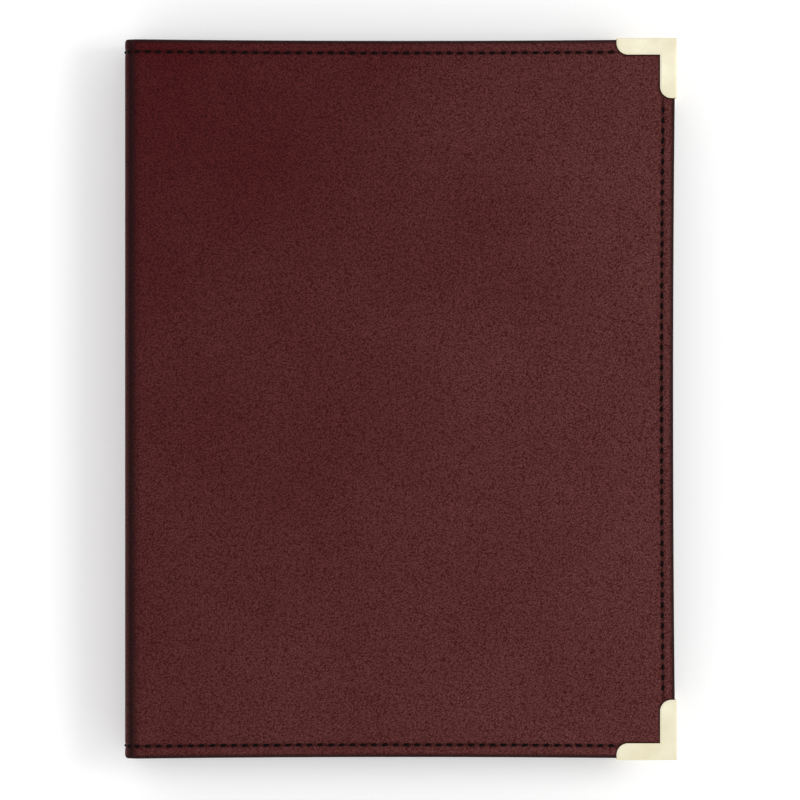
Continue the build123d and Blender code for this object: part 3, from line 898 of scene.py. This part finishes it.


def painted_sheen_share(n, coords, drift):
    """How much painted sheen the leatherette's colour takes: least at the spine's head, more towards the tail
    and the fore-edge.
    """
    apart = n.add("ShaderNodeSeparateXYZ", {"Vector": coords})
    u, v = apart.outputs["X"], apart.outputs["Y"]
    out = n.math("POWER", n.math("MULTIPLY", n.math("ABSOLUTE", u), 4.0), 1.6)  # about 1 at the fore-edge
    low = n.math("MULTIPLY_ADD", v, -2.0, 0.3)  # 0 at the head, 0.6 at the tail
    painted_sheen = n.math("ADD", n.math("MULTIPLY", low, n.math("SUBTRACT", 1.0, out)), n.math("MULTIPLY", out, 0.85))
    return n.math("ADD", painted_sheen, n.math("MULTIPLY_ADD", drift, 0.7, -0.35))


def leatherette():
    """Burgundy leatherette: slanting wrinkles, paler on top with painted highlights and a painted sheen that
    grows towards the tail and fore-edge, and dark dye with painted shade in creases.
    """
    n = Nodes("leatherette")
    coords = n.sheet_coords()
    drift = n.noise(coords, 14.0, 3.0, 0.55)
    long_grain = n.noise(wrinkles(n, coords, 2300.0, -0.55, 2.1), 1.0, 3.0, 0.7, 0.5)
    pebbles = n.cells(wrinkles(n, coords, 1900.0, -0.8, 1.5), 1.0)
    height = n.math("SUBTRACT", n.math("MULTIPLY", long_grain, 1.5), n.math("MULTIPLY", pebbles, 0.5))
    painted_sheen = painted_sheen_share(n, coords, drift)
    # painted sheen: the colour grows paler towards the tail and the fore-edge
    colour = n.ramp(painted_sheen, [(0.0, BURGUNDY), (1.0, SHEEN_BURGUNDY)])
    # grain tone with painted shade in the grain's hollows and painted light on its crests
    shade = n.grey(height, [(0.14, 0.5), (0.42, 0.9), (0.7, 1.95)])
    # painted highlights: grey added to the colour on the grain's crests, stronger with the painted sheen
    glint = n.grey(height, [(0.2, 0.2), (0.42, 0.68), (0.64, 3.2)])
    grain_shaded = n.mix(0.8, colour, shade, "MULTIPLY")
    painted_highlight = n.math("MULTIPLY", glint, n.math("MULTIPLY_ADD", painted_sheen, 0.0122, 0.0022))
    pale = n.mix(1.0, grain_shaded, painted_highlight, "ADD")
    # dark dye and painted shade where the mesh's mark is high
    n.set("Base Color", n.mix(n.math("MULTIPLY", n.mark(), DYE_AND_SHADE_COVER), pale, DYE_AND_SHADE))
    n.set("Roughness", n.math("MULTIPLY_ADD", drift, 0.16, 0.34))
    n.set("Specular IOR Level", 0.05)
    n.set("Normal", n.bump(height, 0.0005))
    return n.material


def lining_cloth():
    """Dark book cloth for the inside of the case."""
    n = Nodes("lining")
    coords = n.sheet_coords()
    threads = [n.bands(coords, 330.0, 1.2, direction, 1.0) for direction in ("X", "Y")]
    weave = n.math("MULTIPLY", *threads)
    drift = n.noise(coords, 25.0, 3.0)
    colour = n.ramp(drift, [(0.35, (0.030, 0.0045, 0.0055)), (0.65, (0.044, 0.0065, 0.0075))])
    shade = n.grey(weave, [(0.0, 0.6), (1.0, 1.2)])
    n.set("Base Color", n.mix(0.8, colour, shade, "MULTIPLY"))
    n.set("Roughness", 0.82)
    n.set("Specular IOR Level", 0.12)
    n.set("Sheen Weight", 0.04)
    n.set("Normal", n.bump(weave, 0.00012, 0.7))
    return n.material


def thread():
    """Waxed dark thread with a visible twist."""
    n = Nodes("thread")
    twist = n.bands(n.object_coords(), 900.0, 2.0, "DIAGONAL")
    n.set("Base Color", n.ramp(twist, [(0.2, (0.0018, 0.0008, 0.0009)), (0.9, (0.007, 0.002, 0.0024))]))
    n.set("Roughness", 0.6)
    n.set("Specular IOR Level", 0.06)
    n.set("Normal", n.bump(twist, 0.0001, 0.6))
    return n.material


def brass():
    """Pale polished brass with fine rubbing marks and slightly dulled patches."""
    n = Nodes("corner_brass")
    coords = n.object_coords()
    dull = n.noise(coords, 90.0, 4.0, 0.6)
    lines = n.add("ShaderNodeMapping", {"Vector": coords, "Rotation": (0.3, 0.2, 0.5),
                                        "Scale": (30.0, 900.0, 400.0)}).outputs["Vector"]
    rubbed = n.noise(lines, 4.0, 2.0)
    n.set("Base Color", n.ramp(dull, [(0.3, (0.90, 0.82, 0.58)), (0.7, (0.95, 0.90, 0.70))]))
    n.set("Metallic", 1.0)
    n.set("Roughness", n.grey(dull, [(0.3, 0.16), (0.75, 0.3)]))
    n.set("Normal", n.bump(rubbed, 0.00003, 0.25))
    return n.material


def plated_steel(name, colour, low, high, streak):
    """Plated or rolled steel: low and high limit its roughness, and streak is how deep its lines are."""
    n = Nodes(name)
    coords = n.object_coords()
    cloud = n.noise(coords, 70.0, 3.0)
    drawn = n.add("ShaderNodeMapping", {"Vector": coords, "Scale": (1800.0, 20.0, 1800.0)})
    lines = n.noise(drawn.outputs["Vector"], 1.0, 2.0)
    dim = tuple(c * 0.86 for c in colour)
    n.set("Base Color", n.ramp(cloud, [(0.3, dim), (0.7, colour)]))
    n.set("Metallic", 1.0)
    n.set("Roughness", n.grey(cloud, [(0.3, low), (0.7, high)]))
    n.set("Normal", n.bump(lines, 0.00004, streak))
    return n.material


def greyboard():
    """Grey-brown pressed board of the covers and the spine."""
    n = Nodes("board")
    coords = n.object_coords()
    fibre = n.noise(coords, 900.0, 4.0, 0.7)
    n.set("Base Color", n.ramp(fibre, [(0.3, (0.27, 0.23, 0.18)), (0.7, (0.42, 0.37, 0.3))]))
    n.set("Roughness", 0.9)
    n.set("Normal", n.bump(fibre, 0.0001, 0.5))
    return n.material


def foam():
    """Off-white foam with fine cells."""
    n = Nodes("foam")
    cells = n.cells(n.object_coords(), 1400.0)
    n.set("Base Color", n.ramp(cells, [(0.0, (0.5, 0.49, 0.45)), (0.6, (0.8, 0.79, 0.74))]))
    n.set("Roughness", 0.95)
    n.set("Normal", n.bump(cells, 0.0002, 0.6))
    return n.material


def filler_paper():
    """Buff paper that levels a board with the turned-in hem."""
    n = Nodes("filler")
    coords = n.object_coords()
    fibre = n.noise(coords, 1500.0, 3.0, 0.7)
    n.set("Base Color", n.ramp(fibre, [(0.3, (0.5, 0.46, 0.38)), (0.7, (0.66, 0.62, 0.53))]))
    n.set("Roughness", 0.88)
    n.set("Normal", n.bump(fibre, 0.00006, 0.5))
    return n.material


def page_film():
    """Clear flexible film with a faint haze and slow ripples; the welds are frosted."""
    n = Nodes("page_film")
    coords = n.object_coords()
    ripple = n.noise(coords, 26.0, 1.0, 0.4, 0.5)
    haze = n.noise(coords, 300.0, 3.0)
    weld = n.mark()
    n.set("Base Color", n.mix(weld, (0.20, 0.22, 0.23, 1.0), (0.5, 0.53, 0.55, 1.0)))
    rough = n.grey(haze, [(0.3, 0.06), (0.8, 0.16)])
    n.set("Roughness", n.math("MULTIPLY_ADD", weld, 0.35, rough))
    n.set("IOR", 1.5)
    n.set("Alpha", n.math("MULTIPLY_ADD", weld, 0.3, n.grey(haze, [(0.2, 0.13), (0.8, 0.2)])))
    n.set("Normal", n.bump(ripple, 0.0008, 0.3))
    return n.material


def page_card():
    """Black backing card inside a page."""
    n = Nodes("page_card")
    coords = n.object_coords()
    fibre = n.noise(coords, 1300.0, 3.0, 0.7)
    n.set("Base Color", n.ramp(fibre, [(0.3, (0.008, 0.008, 0.009)), (0.7, (0.018, 0.018, 0.019))]))
    n.set("Roughness", 0.8)
    n.set("Normal", n.bump(fibre, 0.00005, 0.5))
    return n.material


MATERIALS = {
    "leatherette": leatherette(),
    "lining": lining_cloth(),
    "foam": foam(),
    "board": greyboard(),
    "filler": filler_paper(),
    "thread": thread(),
    "corner_brass": brass(),
    "ring_nickel": plated_steel("ring_nickel", (0.80, 0.79, 0.76), 0.14, 0.26, 0.15),
    "blade_steel": plated_steel("blade_steel", (0.56, 0.56, 0.57), 0.3, 0.45, 0.5),
    "page_film": page_film(),
    "page_card": page_card(),
}


def dress_cad_nodes():
    """Every CAD node that stays gets the procedural material of its slot."""
    for part in frame["record"]["subparts"]:
        obj = frame["nodes"][part["node"]]
        obj.data.materials.clear()
        obj.data.materials.append(MATERIALS[part["material_slot"]])


def soften_edges(node):
    """A small bevel on a CAD node's sharp edges, so that they catch the light."""
    bevel = frame["nodes"][node].modifiers.new("edge", "BEVEL")
    bevel.width = EDGE_BEVEL * MM
    bevel.segments = 2
    bevel.limit_method = "ANGLE"
    bevel.angle_limit = BEVEL_ANGLE


# ---- stage, light and camera, in metres except where marked ----

FLOOR_SIZE = 30
FLOOR_GAP = 0.0004
FLOOR_GLOW = 0.16  # a weak glow of its own keeps the floor white
WORLD_LOW = 0.85  # brightness of the studio on the spine's side
WORLD_HIGH = 0.95  # and on the fore-edge's
KEY_PLACE = (0.85, 0.1, 1.3)
KEY_SIZE = 0.5
KEY_POWER = 5.0
CAMERA_LENS = 200.0  # a long lens, for a nearly parallel view
SENSOR = 36.0
VIEW_WIDTH = 0.3488  # width of the picture at the front cover
VIEW_CENTRE = (-0.00024, -0.00046)
EDGE_BEVEL = 0.12  # millimetres
BEVEL_ANGLE = math.radians(40)


def make_floor():
    """A plain white floor just under the album."""
    bpy.ops.mesh.primitive_plane_add(size=FLOOR_SIZE)
    floor = bpy.context.object
    floor.name = "floor"
    floor.location.z = cad_box[0].z - FLOOR_GAP
    n = Nodes("floor_white")
    n.set("Base Color", (0.93, 0.93, 0.93, 1.0))
    n.set("Roughness", 0.9)
    n.set("Specular IOR Level", 0.1)
    n.set("Emission Color", (1.0, 1.0, 1.0, 1.0))
    n.set("Emission Strength", FLOOR_GLOW)
    floor.data.materials.append(n.material)


def make_world():
    """A white studio that grows brighter from the spine's side to the fore-edge's side."""
    world = bpy.data.worlds.new("studio")
    world.use_nodes = True
    tree = world.node_tree
    coords = tree.nodes.new("ShaderNodeTexCoord")
    apart = tree.nodes.new("ShaderNodeSeparateXYZ")
    grade = tree.nodes.new("ShaderNodeMapRange")
    grade.inputs["From Min"].default_value = -1.0
    grade.inputs["To Min"].default_value = WORLD_LOW
    grade.inputs["To Max"].default_value = WORLD_HIGH
    tree.nodes["Background"].inputs["Color"].default_value = (1.0, 1.0, 1.0, 1.0)
    tree.links.new(coords.outputs["Generated"], apart.inputs[0])
    tree.links.new(apart.outputs["X"], grade.inputs["Value"])
    tree.links.new(grade.outputs[0], tree.nodes["Background"].inputs["Strength"])
    bpy.context.scene.world = world


def make_key_light():
    """One soft round light, aimed at the album."""
    data = bpy.data.lights.new("key", "AREA")
    data.shape = "DISK"
    data.size = KEY_SIZE
    data.energy = KEY_POWER
    light = bpy.data.objects.new("key", data)
    light.location = KEY_PLACE
    light.rotation_euler = (-Vector(KEY_PLACE)).to_track_quat("-Z", "Y").to_euler()
    bpy.context.scene.collection.objects.link(light)


def make_camera():
    """Looks straight down on the front cover."""
    data = bpy.data.cameras.new("camera")
    data.lens = CAMERA_LENS
    data.sensor_width = SENSOR
    camera = bpy.data.objects.new("camera", data)
    distance = VIEW_WIDTH * CAMERA_LENS / SENSOR
    camera.location = (*VIEW_CENTRE, cad_box[1].z + distance)
    data.clip_start = 0.01
    data.clip_end = 100
    bpy.context.scene.collection.objects.link(camera)
    bpy.context.scene.camera = camera


# The two case halves reach over the spine, and the back ones stand for its CAD nodes too.
SPINE_PIECES = {
    "back_case_skin": "spine_skin",
    "back_seam_thread": "spine_thread",
    "back_case_lining": "spine_lining",
}

bpy.context.scene.view_settings.view_transform = "Standard"
dress_cad_nodes()
for is_front in (False, True):
    make_foam(is_front, MATERIALS["foam"])
    make_skin(is_front, MATERIALS["leatherette"])
    make_seam(is_front, MATERIALS["thread"])
    make_lining(is_front, MATERIALS["lining"])
    make_lining_seam(is_front, MATERIALS["thread"])
for owner, hidden in SPINE_PIECES.items():
    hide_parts(hidden)
for page in range(1, PAGE_COUNT + 1):
    make_page_film(page, MATERIALS["page_film"])
for node in ("ring_plate", "head_lever", "tail_lever", "back_blade", "front_blade"):
    soften_edges(node)
make_floor()
make_world()
make_key_light()
make_camera()
